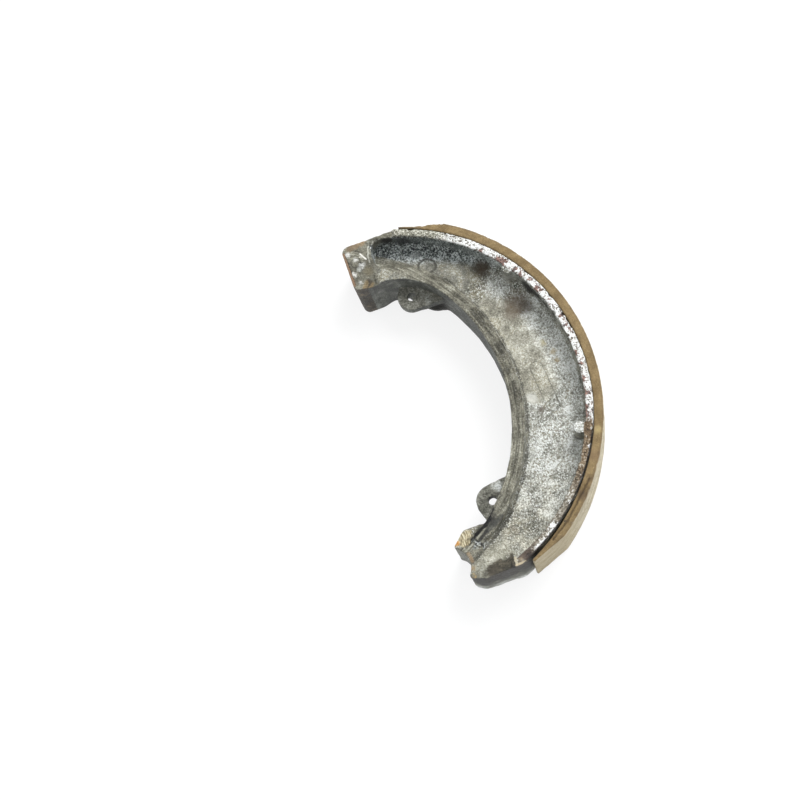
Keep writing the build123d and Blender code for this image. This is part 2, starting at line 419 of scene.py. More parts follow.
def bead_groove_shade(g, at, c, tone):
    """Painted shade in the grooves along the bead and at its foot."""
    bend = g.weighed(at["Depth"], (c.specks, 2.2), (c.patches, 1.6))
    fine = g.math("MULTIPLY", g.window(bend, 2.2, 2.5, 0.35), 0.8)
    line = g.largest(g.window(bend, 5.5, 6.1, 0.5), fine, g.window(bend, -0.9, -0.1, 0.3))
    line = g.product(
        line,
        c.facing,
        g.step(at["Angle"], 66.0, 50.0),
        g.step(at["Height"], 17.5, 19.0),
        g.step(c.grain, 0.36, 0.5),
    )
    # Painted shade: the grooves darkened along their length
    return g.paint(line, 0.72, tone, (0.030, 0.028, 0.020))


def soot_and_shade_walls(g, at, c, tone):
    """Walls and underside: dark in the bore from soot and painted shade, browner with a pale trickle in
    the corner beside the cam block, and from dark to pale going down the outside of the anchor end."""
    x, y = at["X"], at["Y"]
    # Soot and painted shade on the walls of the bore, weaker at the anchor end
    inside = g.product(c.wall, g.step(at["Depth"], 3.0, 0.5), g.step(y, -47.0, -43.0, 0.4, 1.0))
    soot_and_shade = g.weighed(c.cloud, (c.specks, 0.85), (c.grain, 0.6), (c.patches, 0.5), (c.streaks, 0.5))
    tone = g.paint(inside, 0.95, tone, g.ramp(soot_and_shade, SOOT_AND_SHADE))
    recess = g.product(c.wall, g.window(y, 50.5, 57.0, 1.0))
    corner = g.product(recess, g.step(g.weighed(x, (c.specks, 1.6)), 6.6, 6.0))
    brown = g.tint(g.ramp(g.math("SUBTRACT", soot_and_shade, 0.06), SOOT_AND_SHADE), (1.0, 0.78, 0.62))
    tone = g.mix(corner, tone, brown)
    trickle = g.product(recess, g.window(g.weighed(x, (c.specks, 1.8)), 6.5, 7.5, 0.5))
    tone = g.paint(trickle, 0.75, tone, g.ramp(g.math("ADD", soot_and_shade, 0.22), SOOT_AND_SHADE))
    band = g.product(c.wall, g.step(y, -66.5, -69.0))
    fall = g.step(at["Height"], 20.0, 1.0)
    down = g.weighed(c.cloud, (fall, 0.72), (c.specks, 0.55), (c.patches, 0.5), middle=0.62)
    tone = g.paint(band, 0.95, tone, g.ramp(down, GREY))
    satin = g.weighed(0.47, (c.patches, 1.2), (c.grain, 0.7))
    return g.paint(c.under, 0.85, tone, g.ramp(satin, GREY))


def spring_ears(g, at, c, tone):
    """Plain grey ears, each with a painted glint, a brighter patch, at its root."""
    ears = g.product(c.facing, g.step(at["Depth"], -0.3, -1.2), g.step(at["Height"], 22.0, 20.0))
    anchor_side = g.spot(c.ragged, (27.4, -37.4, 17.0), 1.2, 2.0)
    cam_side = g.spot(c.ragged, (28.0, 43.4, 17.0), 0.8, 2.6)
    # Painted glint: a highlight at each ear's root, weaker on the cam end's ear
    glint = g.largest(anchor_side, g.math("MULTIPLY", cam_side, 0.45))
    plain = g.weighed(0.58, (c.specks, 0.9), (c.patches, 0.7), (glint, 0.32))
    return g.mix(ears, tone, g.ramp(plain, GREY))


def pressed_marks(g, c):
    """Mask of the rings and the round-ended outline pressed into the web."""
    torn = g.mix(0.12, c.plan, c.flat)
    pressed = g.product(g.ring(torn, STAMP_CENTRE, 3.5, 0.5), c.facing)
    for centre in PIN_MARKS:
        pressed = g.largest(pressed, g.product(g.ring(torn, centre, 1.9, 0.26), c.facing, 0.7))
    pressed = g.product(pressed, g.step(c.specks, 0.36, 0.5, 0.45, 1.0))
    broken = g.step(c.specks, 0.42, 0.54, 0.1, 0.75)
    return g.largest(pressed, g.product(g.slot_outline(c.plan), c.web, broken))


def rim_crust(g, at, c, tone):
    """The rim's land: white crust with dark pits and red-brown flakes, beige at the cam end, and past
    the step brown and grey with broken white along the lining."""
    radius, angle = at["Radius"], at["Angle"]
    land = g.product(g.step(radius, 72.3, 72.8), g.step(at["X"], 21.5, 22.5))
    land = g.product(land, g.step(at["Height"], 28.6, 29.2))
    rim = g.weighed(0.62, (c.specks, 1.9), (c.grain, 1.2), (c.patches, 0.7))
    rim = g.weighed(rim, (g.noise(at["Place"], 0.8, 2.0), 1.0))
    flaky = g.noise(at["Place"], 0.30, 4.0, 0.62)
    flakes = g.weighed(
        flaky,
        (g.step(angle, 40.0, 52.0), -0.2),
        (g.window(angle, -24.0, -12.0, 3.0), 0.05),
        (g.window(angle, 22.0, 36.0, 3.0), 0.035),
        middle=0.0,
    )
    inner = g.step(g.weighed(radius, (c.specks, 4.0)), 75.9, 75.2)
    flakes = g.product(g.step(flakes, 0.535, 0.565), inner)
    crust = g.paint(flakes, 0.9, g.ramp(rim, CRUST), g.ramp(g.weighed(0.5, (c.specks, 2.4)), FLAKE))
    beige = g.step(g.weighed(angle, (c.patches, 30.0)), 50.0, 60.0)
    crust = g.mix(beige, crust, g.ramp(g.weighed(0.60, (c.specks, 1.6), (c.grain, 1.2)), GRIME))
    low = g.weighed(0.47, (c.specks, 1.5), (c.grain, 0.8), (c.patches, 0.8))
    greyer = g.step(angle, -34.0, -48.0, 0.0, 0.55)
    rusty = g.mix(greyer, g.ramp(low, RUST), g.ramp(g.math("ADD", low, 0.04), GREY))
    near_end = g.window(angle, -63.5, -55.0, 3.0)
    whites = g.weighed(radius, (flaky, 9.0), (c.specks, 3.0), (near_end, 1.3), middle=0.0)
    whites = g.product(g.step(g.math("SUBTRACT", whites, 6.6), 75.2, 75.5), g.step(angle, -65.5, -63.0))
    rusty = g.paint(whites, 0.9, rusty, g.ramp(rim, CRUST))
    # Painted shade in the gap between the rim and the lining, on the anchor half
    gap_shade = g.window(g.weighed(radius, (c.specks, 0.8)), 75.7, 76.6, 0.2)
    gap_shade = g.product(gap_shade, g.step(angle, -22.0, -27.0))
    rusty = g.paint(gap_shade, 0.92, rusty, (0.012, 0.009, 0.007))
    beyond = g.step(g.weighed(angle, (c.specks, 4.0)), -21.0, -22.5)
    return g.mix(land, tone, g.mix(beyond, crust, rusty))


def dark_sill(g, at, c, tone):
    """Dark brown sill and rim end past the last of the lining."""
    sill = g.product(
        g.step(c.reach, 69.0, 70.0),
        g.step(at["X"], 24.4, 23.9),
        g.step(at["X"], 8.5, 14.5),
        g.step(at["Y"], -60.0, -63.0),
        g.step(at["Height"], 13.0, 17.0),
    )
    brown = g.tint(g.ramp(g.math("SUBTRACT", c.quiet, 0.20), SOOT_AND_SHADE), (1.0, 0.82, 0.66))
    return g.paint(sill, 0.96, tone, brown)


def local_marks(g, c, upward, tone):
    """Every stain and painted shade in SPOTS, then every crack and scratch in STROKES, with ragged
    outlines.
    """
    shredded = g.scatter(c.ragged, 1.3, 2.6)
    for centre, radius, soft, colour, strength in SPOTS:
        tone = g.paint(g.spot(shredded, centre, radius, soft), strength, tone, colour)
    frayed = g.mix(0.4, c.plan, c.flat)
    for start, end, width, soft, colour, strength in STROKES:
        mark = g.product(g.stroke(frayed, start, end, width, soft), upward)
        tone = g.paint(mark, strength, tone, colour)
    return tone


def inner_prong(g, at, c, upward, tone):
    """Black and white crystals in the corner behind the inner prong, and the bright scored metal and
    orange tip of the prong itself."""
    crystals = g.product(g.spot(c.ragged, (12.8, -58.8, 25.0), 2.6, 1.6), c.facing)
    tone = g.paint(crystals, 0.9, tone, g.ramp(g.weighed(0.47, (c.specks, 4.5)), STAIN_AND_SHADE))
    body, heel = g.spot(c.flat, (7.9, -54.6, 0.0), 2.6, 0.9), g.spot(c.flat, (10.4, -53.6, 0.0), 1.3, 0.9)
    bright = g.product(g.largest(body, heel), g.spot(c.flat, (4.6, -55.2, 0.0), 7.6, 0.8), upward)
    score = g.noise(g.turned(at["Place"], 38.0, (2.4, 0.30, 1.0)), 1.0, 3.0, 0.6)
    tone = g.paint(bright, 0.94, tone, g.ramp(score, GOLD))
    orange = g.product(g.spot(c.flat, (5.4, -55.3, 0.0), 0.5, 1.0), upward)
    return g.paint(orange, 0.85, tone, (0.66, 0.30, 0.055))


def casting_material():
    """Corroded aluminium, dirtied and crusted region by region, with painted shade and shadow in its
    hollows, grooves and bore, and a painted glint on each ear.
    """
    made, g, shader, at = material("corroded_aluminium", 0.0, 0.6)
    link = made.node_tree.links.new
    c = Casting(g, at)
    upward = g.product(g.step(at["Up"], 0.0, 0.35), g.step(at["Height"], 20.0, 22.0))
    tone = web_metal(g, at, c)
    for layer in (hollow_stain_and_shade, olive_grime, bead_groove_shade, soot_and_shade_walls, spring_ears):
        tone = layer(g, at, c, tone)
    pressed = pressed_marks(g, c)
    tone = g.paint(pressed, 0.8, tone, (0.055, 0.052, 0.042))
    tone = dark_sill(g, at, c, rim_crust(g, at, c, tone))
    tone = local_marks(g, c, upward, tone)
    link(inner_prong(g, at, c, upward, tone), shader.inputs["Base Color"])
    link(g.weighed(0.56, (c.specks, 0.7), (c.patches, 0.4)), shader.inputs["Roughness"])
    relief = g.weighed(0.5, (c.specks, 1.0), (c.grain, 0.5), (c.patches, 0.5), (pressed, -0.5))
    link(g.bump(relief, g.step(c.calm, 0.0, 1.0, 0.0013, 0.0006)), shader.inputs["Normal"])
    return made


# Stains, painted shade and marks that sit at one place on the casting: centre, size, fade, colour,
# strength
SPOTS = (
    # Brown stains in the hollow and on the web
    ((51.6, 48.2, 18.0), 1.2, 4.4, (0.062, 0.043, 0.024), 0.9),
    ((59.4, 28.6, 18.0), 2.0, 5.2, (0.115, 0.082, 0.050), 0.8),
    ((62.6, 26.6, 18.0), 0.8, 3.6, (0.075, 0.058, 0.040), 0.6),
    ((55.6, 25.8, 18.0), 0.6, 3.4, (0.15, 0.12, 0.085), 0.5),
    # Painted shade: black along the foot of the rim, fading towards the anchor end
    ((65.4, 31.4, 24.0), 2.0, 3.0, (0.010, 0.009, 0.007), 0.96),
    ((68.4, 27.6, 25.0), 1.6, 2.0, (0.012, 0.010, 0.007), 0.94),
    ((70.4, 22.6, 25.0), 1.4, 1.8, (0.018, 0.016, 0.012), 0.9),
    ((72.0, 17.0, 25.5), 1.3, 1.6, (0.022, 0.020, 0.015), 0.88),
    ((73.2, 11.4, 25.5), 1.2, 1.6, (0.026, 0.024, 0.018), 0.85),
    ((74.0, 5.4, 25.5), 1.1, 1.6, (0.030, 0.028, 0.022), 0.8),
    ((74.2, -0.6, 25.5), 1.0, 1.6, (0.040, 0.038, 0.030), 0.75),
    # Painted shade over the dark stain: black at the cam end of the hollow
    ((19.5, 69.8, 25.0), 1.6, 2.6, (0.008, 0.007, 0.006), 0.9),
    ((26.0, 68.4, 24.0), 1.6, 3.0, (0.012, 0.012, 0.013), 0.75),
    # Pale gap in the stain, pale grains and tan flecks on the web
    ((60.5, 40.5, 24.0), 1.0, 2.6, (0.56, 0.57, 0.54), 0.8),
    ((27.9, 62.4, 18.0), 0.6, 2.6, (0.44, 0.47, 0.46), 0.6),
    ((17.5, 64.6, 19.0), 0.3, 0.8, (0.62, 0.64, 0.60), 0.8),
    ((23.7, 55.4, 18.0), 0.4, 1.4, (0.58, 0.58, 0.50), 0.7),
    ((28.6, 52.0, 18.0), 0.3, 1.2, (0.66, 0.64, 0.54), 0.7),
    ((63.9, 10.2, 18.0), 0.5, 1.6, (0.50, 0.44, 0.24), 0.7),
    ((66.1, 5.6, 18.0), 0.4, 1.7, (0.42, 0.32, 0.15), 0.65),
    ((66.2, 1.8, 18.0), 0.3, 1.5, (0.42, 0.32, 0.15), 0.6),
    ((51.8, -9.4, 18.0), 1.2, 1.8, (0.60, 0.60, 0.55), 0.7),
    ((54.0, -15.2, 18.0), 0.3, 2.0, (0.13, 0.10, 0.075), 0.7),
    # White crust, then tan and brown edges, on the cam block
    ((2.8, 69.0, 28.5), 0.4, 1.2, (0.84, 0.84, 0.80), 0.85),
    ((5.4, 66.0, 28.5), 0.3, 1.2, (0.82, 0.82, 0.78), 0.8),
    ((7.2, 63.0, 28.5), 0.4, 1.3, (0.74, 0.75, 0.72), 0.75),
    ((5.5, 61.6, 28.5), 0.3, 1.2, (0.66, 0.68, 0.64), 0.7),
    ((3.0, 60.4, 28.5), 0.4, 1.1, (0.84, 0.83, 0.78), 0.85),
    ((4.3, 56.2, 28.5), 0.3, 0.9, (0.66, 0.66, 0.62), 0.8),
    ((7.0, 72.6, 28.3), 1.2, 1.8, (0.27, 0.195, 0.115), 0.85),
    ((10.0, 72.2, 28.3), 1.0, 1.4, (0.38, 0.27, 0.155), 0.85),
    ((4.4, 71.4, 28.4), 0.8, 1.6, (0.20, 0.14, 0.08), 0.8),
    ((8.6, 59.6, 28.4), 0.8, 2.0, (0.17, 0.145, 0.085), 0.6),
    ((13.2, 69.6, 28.0), 0.2, 0.8, (0.030, 0.026, 0.022), 0.8),
    # Painted shadow: black below the cam end's ear
    ((28.6, 43.4, 3.0), 5.0, 3.0, (0.014, 0.012, 0.009), 0.92),
    # Brown stains towards the anchor end
    ((28.3, -56.3, 21.0), 0.7, 1.4, (0.13, 0.10, 0.065), 0.8),
    ((16.2, -62.0, 25.0), 0.4, 1.0, (0.27, 0.15, 0.065), 0.85),
    ((18.6, -61.4, 24.0), 0.4, 1.1, (0.33, 0.19, 0.085), 0.8),
    ((29.1, -59.1, 22.0), 0.4, 1.2, (0.17, 0.12, 0.07), 0.8),
    ((27.4, -57.0, 22.0), 0.3, 1.4, (0.26, 0.19, 0.10), 0.7),
    ((37.0, -51.1, 20.0), 0.4, 1.6, (0.25, 0.18, 0.11), 0.7),
    # White and grey grains behind the inner prong
    ((13.5, -59.4, 25.0), 0.6, 0.9, (0.78, 0.80, 0.79), 0.9),
    ((11.2, -57.4, 26.0), 0.4, 0.8, (0.70, 0.72, 0.72), 0.85),
    ((11.4, -60.4, 26.0), 0.5, 0.8, (0.06, 0.06, 0.06), 0.85),
    ((15.6, -60.2, 25.0), 0.8, 1.4, (0.36, 0.37, 0.38), 0.7),
    ((12.2, -62.4, 26.0), 0.4, 0.9, (0.12, 0.08, 0.05), 0.8),
    # Tan notch edge and dark outer prong
    ((8.0, -66.4, 28.0), 0.5, 1.3, (0.36, 0.235, 0.10), 0.8),
    ((7.5, -69.6, 28.0), 0.5, 1.0, (0.50, 0.36, 0.16), 0.75),
    ((15.0, -69.6, 27.5), 1.4, 1.8, (0.055, 0.046, 0.032), 0.75),
    # Dark rim end and the torn valley
    ((28.3, -67.4, 29.6), 2.4, 1.6, (0.085, 0.058, 0.044), 0.9),
    ((21.4, -51.8, 26.0), 1.6, 2.2, (0.036, 0.035, 0.031), 0.85),
    ((19.8, -51.0, 26.5), 1.0, 0.8, (0.007, 0.007, 0.006), 0.95),
    ((24.0, -52.0, 24.5), 0.8, 1.0, (0.016, 0.016, 0.014), 0.9),
    ((15.0, -54.6, 26.5), 0.8, 0.7, (0.007, 0.007, 0.006), 0.95),
    ((12.0, -56.0, 26.5), 0.6, 0.7, (0.010, 0.010, 0.009), 0.92),
    ((30.0, -69.4, 29.6), 0.7, 1.0, (0.035, 0.026, 0.022), 0.85),
    ((26.4, -69.6, 29.6), 0.5, 0.9, (0.34, 0.27, 0.18), 0.7),
)

# Cracks, edges and scratches seen on upward faces: start, end, half width, fade, colour, strength
STROKES = (
    ((25.2, -51.5, 0.0), (17.8, -54.7, 0.0), 0.50, 1.0, (0.055, 0.056, 0.050), 0.75),
    ((17.8, -54.7, 0.0), (14.6, -57.0, 0.0), 0.40, 0.7, (0.018, 0.018, 0.017), 0.85),
    ((22.8, -47.2, 0.0), (20.3, -50.1, 0.0), 0.35, 0.5, (0.012, 0.011, 0.010), 0.9),
    ((20.3, -50.1, 0.0), (18.2, -52.1, 0.0), 0.80, 0.5, (0.006, 0.006, 0.005), 0.97),
    ((18.2, -52.1, 0.0), (13.7, -54.6, 0.0), 0.50, 0.4, (0.005, 0.005, 0.004), 0.98),
    ((13.7, -54.6, 0.0), (9.2, -57.2, 0.0), 0.35, 0.4, (0.006, 0.006, 0.005), 0.97),
    ((12.6, -56.6, 0.0), (14.6, -59.6, 0.0), 0.20, 0.45, (0.015, 0.015, 0.015), 0.85),
    ((8.4, -60.7, 0.0), (8.8, -64.0, 0.0), 0.25, 0.8, (0.36, 0.25, 0.14), 0.65),
    ((24.5, -67.3, 0.0), (24.3, -71.0, 0.0), 0.30, 0.45, (0.60, 0.54, 0.40), 0.85),
    ((24.0, -71.3, 0.0), (29.7, -70.9, 0.0), 0.22, 0.4, (0.74, 0.62, 0.42), 0.85),
    ((7.8, 67.8, 0.0), (9.4, 64.9, 0.0), 0.12, 0.35, (0.86, 0.84, 0.78), 0.9),
    ((7.2, 66.6, 0.0), (8.8, 66.4, 0.0), 0.10, 0.3, (0.80, 0.78, 0.70), 0.8),
    ((4.6, 51.8, 0.0), (7.6, 55.4, 0.0), 0.90, 0.9, (0.062, 0.045, 0.026), 0.8),
    ((4.0, 52.4, 0.0), (6.5, 55.8, 0.0), 0.20, 0.9, (0.31, 0.235, 0.125), 0.75),
    ((6.0, 52.8, 0.0), (8.8, 55.0, 0.0), 0.10, 0.8, (0.30, 0.225, 0.12), 0.6),
    ((6.2, 52.0, 0.0), (8.6, 53.0, 0.0), 0.22, 0.4, (0.84, 0.77, 0.58), 0.95),
    ((8.6, 53.0, 0.0), (12.8, 53.0, 0.0), 0.14, 0.45, (0.60, 0.55, 0.40), 0.8),
    ((1.5, 67.0, 0.0), (1.9, 56.4, 0.0), 0.10, 0.7, (0.20, 0.135, 0.070), 0.6),
    ((11.9, 69.6, 0.0), (10.6, 66.2, 0.0), 0.10, 0.4, (0.60, 0.60, 0.52), 0.75),
    ((10.6, 66.2, 0.0), (10.4, 63.0, 0.0), 0.10, 0.4, (0.50, 0.50, 0.44), 0.6),
)


def lining_side(g, patches, mottle, grain):
    """Brown cut edge of the friction composite, mottled and flecked."""
    side = g.mix(g.step(patches, 0.38, 0.62), (0.150, 0.101, 0.041), (0.232, 0.164, 0.074))
    side = g.mix(g.step(mottle, 0.40, 0.52, 0.4, 0.0), side, (0.125, 0.080, 0.034))
    side = g.mix(g.step(grain, 0.55, 0.68, 0.0, 0.6), side, (0.50, 0.385, 0.215))
    return g.mix(g.step(grain, 0.34, 0.44, 0.7, 0.0), side, (0.075, 0.048, 0.022))


def lining_face(g, at, patches, mottle, grain):
    """Pale rubbing face, scored along the arc by the drum and darker at the anchor end."""
    across, along = g.math("MULTIPLY", at["Height"], 0.8), g.math("MULTIPLY", at["Angle"], 0.04)
    scores = g.noise(g.node("CombineXYZ", {"X": along, "Y": across}).outputs[0], 1.0, 4.0, 0.65)
    worn = g.step(g.weighed(patches, (scores, 0.9)), 0.34, 0.66)
    face = g.mix(worn, (0.36, 0.31, 0.205), (0.58, 0.52, 0.385))
    face = g.mix(g.step(scores, 0.36, 0.43, 0.5, 0.0), face, (0.25, 0.20, 0.12))
    face = g.mix(g.step(mottle, 0.40, 0.52, 0.5, 0.0), face, (0.24, 0.19, 0.11))
    face = g.mix(g.step(grain, 0.54, 0.64, 0.0, 0.75), face, (0.78, 0.73, 0.60))
    face = g.mix(g.step(grain, 0.38, 0.47, 0.6, 0.0), face, (0.17, 0.13, 0.075))
    return g.mix(g.step(at["Angle"], -46.0, -56.0, 0.0, 0.45), face, (0.36, 0.29, 0.17))


def lining_material():
    """Friction composite: brown edges, a paler rubbing face, stains, a crack and painted shade in the gap
    along its inner edge.
    """
    made, g, shader, at = material("worn_friction_lining", 0.0, 0.85)
    link = made.node_tree.links.new
    place, radius, angle = at["Place"], at["Radius"], at["Angle"]
    patches, mottle = g.noise(place, 0.16, 5.0, 0.6), g.noise(place, 0.8, 5.0, 0.7)
    grain = g.noise(place, 2.6, 5.0, 0.74)
    top = g.math("ABSOLUTE", at["Up"])
    rubbing = g.product(g.step(top, 0.6, 0.3), g.step(radius, 77.0, 78.0))
    side = lining_side(g, patches, mottle, grain)
    tone = g.mix(rubbing, side, lining_face(g, at, patches, mottle, grain))
    ragged = g.scatter(place, 0.6, 2.0)
    plan = g.flat(ragged)
    for centre, reach, soft, colour, strength in LINING_SPOTS:
        tone = g.paint(g.spot(ragged, centre, reach, soft), strength, tone, colour)
    open_crack = g.product(top, g.step(mottle, 0.36, 0.48))
    for start, end in zip(LINING_CRACK[:-1], LINING_CRACK[1:]):
        mark = g.stroke(plan, (*start, 0.0), (*end, 0.0), 0.12, 0.4)
        tone = g.paint(g.product(mark, open_crack), 0.8, tone, (0.060, 0.040, 0.022))
    edge = g.product(g.window(radius, 79.3, 80.1, 0.3), g.step(at["Height"], 29.0, 29.7))
    edge = g.product(edge, g.step(mottle, 0.42, 0.6))
    tone = g.paint(edge, 0.55, tone, (0.10, 0.07, 0.04))
    # Painted shade in the gap between the lining and the rim, on the anchor half
    gap_shade = g.product(g.step(radius, 76.7, 76.4), g.step(angle, -20.0, -26.0))
    gap_shade = g.product(gap_shade, g.step(mottle, 0.35, 0.5, 0.4, 0.9))
    tone = g.mix(gap_shade, tone, (0.030, 0.022, 0.015))
    link(tone, shader.inputs["Base Color"])
    relief = g.math("ADD", g.math("MULTIPLY", grain, 0.5), g.math("MULTIPLY", mottle, 0.4))
    link(g.bump(relief, 0.0007), shader.inputs["Normal"])
    return made


# Corners of the crack along the lining's lower edge, seen from above
LINING_CRACK = ((60.9, -49.6), (57.0, -53.6), (51.6, -58.4), (47.6, -62.2), (40.0, -66.9))

# Stains on the lining: centre, size, fade, colour, strength
LINING_SPOTS = (
    ((56.3, -54.6, 30.0), 0.9, 2.2, (0.10, 0.065, 0.035), 0.7),
    ((61.0, -49.5, 29.0), 0.6, 1.6, (0.13, 0.085, 0.045), 0.6),
    ((46.8, -61.8, 30.0), 0.2, 0.7, (0.04, 0.03, 0.02), 0.9),
    ((66.0, -42.0, 29.0), 0.8, 3.0, (0.20, 0.13, 0.07), 0.5),
    ((70.8, -33.0, 29.0), 0.5, 2.2, (0.52, 0.42, 0.20), 0.5),
    ((31.5, 70.8, 29.0), 1.5, 3.0, (0.22, 0.17, 0.10), 0.6),
    ((26.0, 73.0, 29.0), 1.2, 2.0, (0.10, 0.08, 0.055), 0.6),
)


def plate_material():
    """Rusted steel, pitted dark, with a scraped upper edge."""
    made, g, shader, at = material("rusted_steel", 0.0, 0.7)
    link = made.node_tree.links.new
    place = at["Place"]
    patches = g.noise(place, 0.35, 6.0, 0.65)
    grain = g.noise(place, 1.8, 5.0, 0.7)
    tone = g.mix(g.step(patches, 0.38, 0.62), (0.030, 0.011, 0.007), (0.13, 0.042, 0.020))
    tone = g.mix(g.step(grain, 0.54, 0.66, 0.0, 0.7), tone, (0.34, 0.15, 0.06))
    tone = g.mix(g.step(grain, 0.34, 0.44, 0.7, 0.0), tone, (0.012, 0.006, 0.004))
    edge = g.step(at["Height"], 27.9, 28.4)
    tone = g.paint(edge, 0.7, tone, g.mix(grain, (0.15, 0.085, 0.045), (0.42, 0.31, 0.20)))
    link(tone, shader.inputs["Base Color"])
    link(g.bump(grain, 0.0008), shader.inputs["Normal"])
    return made


def lattice(points, spacing, seed):
    """Value noise from -1 to 1: random numbers on a cubic lattice of the given spacing, blended
    between the eight corners round each point with the weight 3t^2 - 2t^3 on each axis."""
    table_ = np.random.default_rng(seed).uniform(-1.0, 1.0, (64, 64, 64))
    scaled = points / spacing
    cell = np.floor(scaled).astype(int)
    t = scaled - cell
    t = t * t * (3.0 - 2.0 * t)
    total = np.zeros(len(points))
    for corner in range(8):
        step = np.array([corner & 1, corner >> 1 & 1, corner >> 2 & 1])
        weight = np.where(step, t, 1.0 - t).prod(axis=1)
        index = (cell + step) % 64
        total += weight * table_[index[:, 0], index[:, 1], index[:, 2]]
    return total


def rough(points, spacing, seed, layers=3):
    """Sum of lattice noises, each layer half as wide and 0.6 times as strong as the one before."""
    total = np.zeros(len(points))
    for layer in range(layers):
        total += 0.6**layer * lattice(points, spacing / 2**layer, seed + layer)
    return total


def ease(value, low, high):
    """Smooth step of an array from 0 at low to 1 at high."""
    t = np.clip((value - low) / (high - low), 0.0, 1.0)
    return t * t * (3.0 - 2.0 * t)


def near(points, centre, radius, soft):
    """One inside a ball round centre, falling smoothly to nothing over soft."""
    return 1.0 - ease(np.linalg.norm(points - np.array(centre), axis=1), radius, radius + soft)


def away_from_line(flat, corners):
    """Distance of each flat point from a run of straight pieces: for each piece the point is
    projected on it, held between its ends, and the smallest distance is kept."""
    best = np.full(len(flat), 1e9)
    for start, end in zip(np.array(corners[:-1]), np.array(corners[1:])):
        run = end - start
        t = np.clip((flat - start) @ run / (run @ run), 0.0, 1.0)
        best = np.minimum(best, np.linalg.norm(flat - start - t[:, None] * run, axis=1))
    return best


# Wear of the casting, in mm: depth of the scored line behind the shoe's inner edge, reach of the
# flange into the bore, growth of the cam heel's foot, cut at the inner prong, and corners of the
# torn valley behind that prong
SCORE_DEPTH = 2.4
FLANGE_REACH = 3.5
HEEL_GROWTH = 1.4
PRONG_CUT = 1.8
VALLEY = ((22.5, -47.7), (20.3, -50.1), (18.2, -52.1), (13.7, -54.6), (9.2, -57.2))
MOST_TRIANGLES = 195000


def weathered(name, voxel, wear):
    """Worn copy of a CAD node: the solid is remeshed at the voxel size and smoothed, each point is
    moved along its normal by wear(points, normals), in mm, and kept inside the node's own box."""
    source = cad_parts[name]
    mesh = source.data.copy()
    bm = bmesh.new()
    bm.from_mesh(mesh)
    bmesh.ops.remove_doubles(bm, verts=bm.verts, dist=1e-6)
    bm.to_mesh(mesh)
    bm.free()
    made = bpy.data.objects.new("worn_" + name, mesh)
    bpy.context.scene.collection.objects.link(made)
    remesh = made.modifiers.new("remesh", "REMESH")
    remesh.mode = "VOXEL"
    remesh.voxel_size = voxel * MM
    smooth = made.modifiers.new("smooth", "SMOOTH")
    smooth.factor, smooth.iterations = 0.5, 2
    made.data = applied(made)
    count = len(made.data.vertices)
    points = np.zeros(count * 3)
    made.data.vertices.foreach_get("co", points)
    normals = np.zeros(count * 3, np.float32)
    made.data.vertex_normals.foreach_get("vector", normals)
    points = points.reshape(-1, 3) / MM
    normals = normals.reshape(-1, 3).astype(float)
    points = points + wear(points, normals)
    low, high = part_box(name)
    points = np.clip(points * MM, np.array(low), np.array(high))
    made.data.vertices.foreach_set("co", points.ravel())
    made.data.update()
    made.data.calc_loop_triangles()
    triangles = len(made.data.loop_triangles)
    if triangles > MOST_TRIANGLES:
        thin = made.modifiers.new("thin", "DECIMATE")
        thin.ratio = MOST_TRIANGLES / triangles
        made.data = applied(made)
    made.data.shade_smooth()
    return made


def applied(piece):
    """The piece's mesh with its modifiers worked in, which are then removed."""
    graph = bpy.context.evaluated_depsgraph_get()
    mesh = bpy.data.meshes.new_from_object(piece.evaluated_get(graph))
    piece.modifiers.clear()
    return mesh


def polar(flat, centre=(0.0, 0.0)):
    """Offset of each flat point from the centre, its distance, and its angle in degrees from +X."""
    off = flat - np.array(centre)
    return off, np.linalg.norm(off, axis=1), np.degrees(np.arctan2(off[:, 1], off[:, 0]))


def cast_skin(points, normals):
    """How far each point moves along its normal, in mm: a fine skin of noise all over, pits on the
    rim's land, grain in the hollow and on the web, and one scored line along the bead."""
    flat, height, up = points[:, :2], points[:, 2], normals[:, 2]
    _, radius, angle = polar(flat)
    depth = polar(flat, BORE_CENTRE)[1] - BORE_RADIUS
    moved = 0.10 * rough(points, 5.0, 1) + 0.07 * rough(points, 1.6, 5, 2)
    land = ease(radius, 71.8, 72.8) * ease(height, 26.5, 28.5) * ease(points[:, 0], 21.0, 23.0)
    moved -= land * (0.1 + 0.45 * ease(rough(points, 1.9, 11, 2), 0.12, 0.55))
    hollow = ease(radius, 66.0, 71.0) * (1.0 - land) * ease(angle, 0.0, 40.0) * ease(up, -0.2, 0.2)
    moved += hollow * 0.22 * rough(points, 1.3, 17, 2)
    grainy = ease(height, 16.0, 17.5) * ease(up, 0.3, 0.8) * (1.0 - ease(angle, 10.0, 45.0))
    moved += grainy * (1.0 - land) * 0.10 * rough(points, 1.1, 23, 2)
    scored = 1.0 - ease(np.abs(depth + 0.5 * lattice(points, 3.0, 27) - SCORE_DEPTH), 0.2, 0.8)
    on_bead = ease(height, 17.5, 19.0) * ease(up, 0.4, 0.8) * (flat[:, 1] < 50.0)
    return moved - 0.4 * scored * on_bead


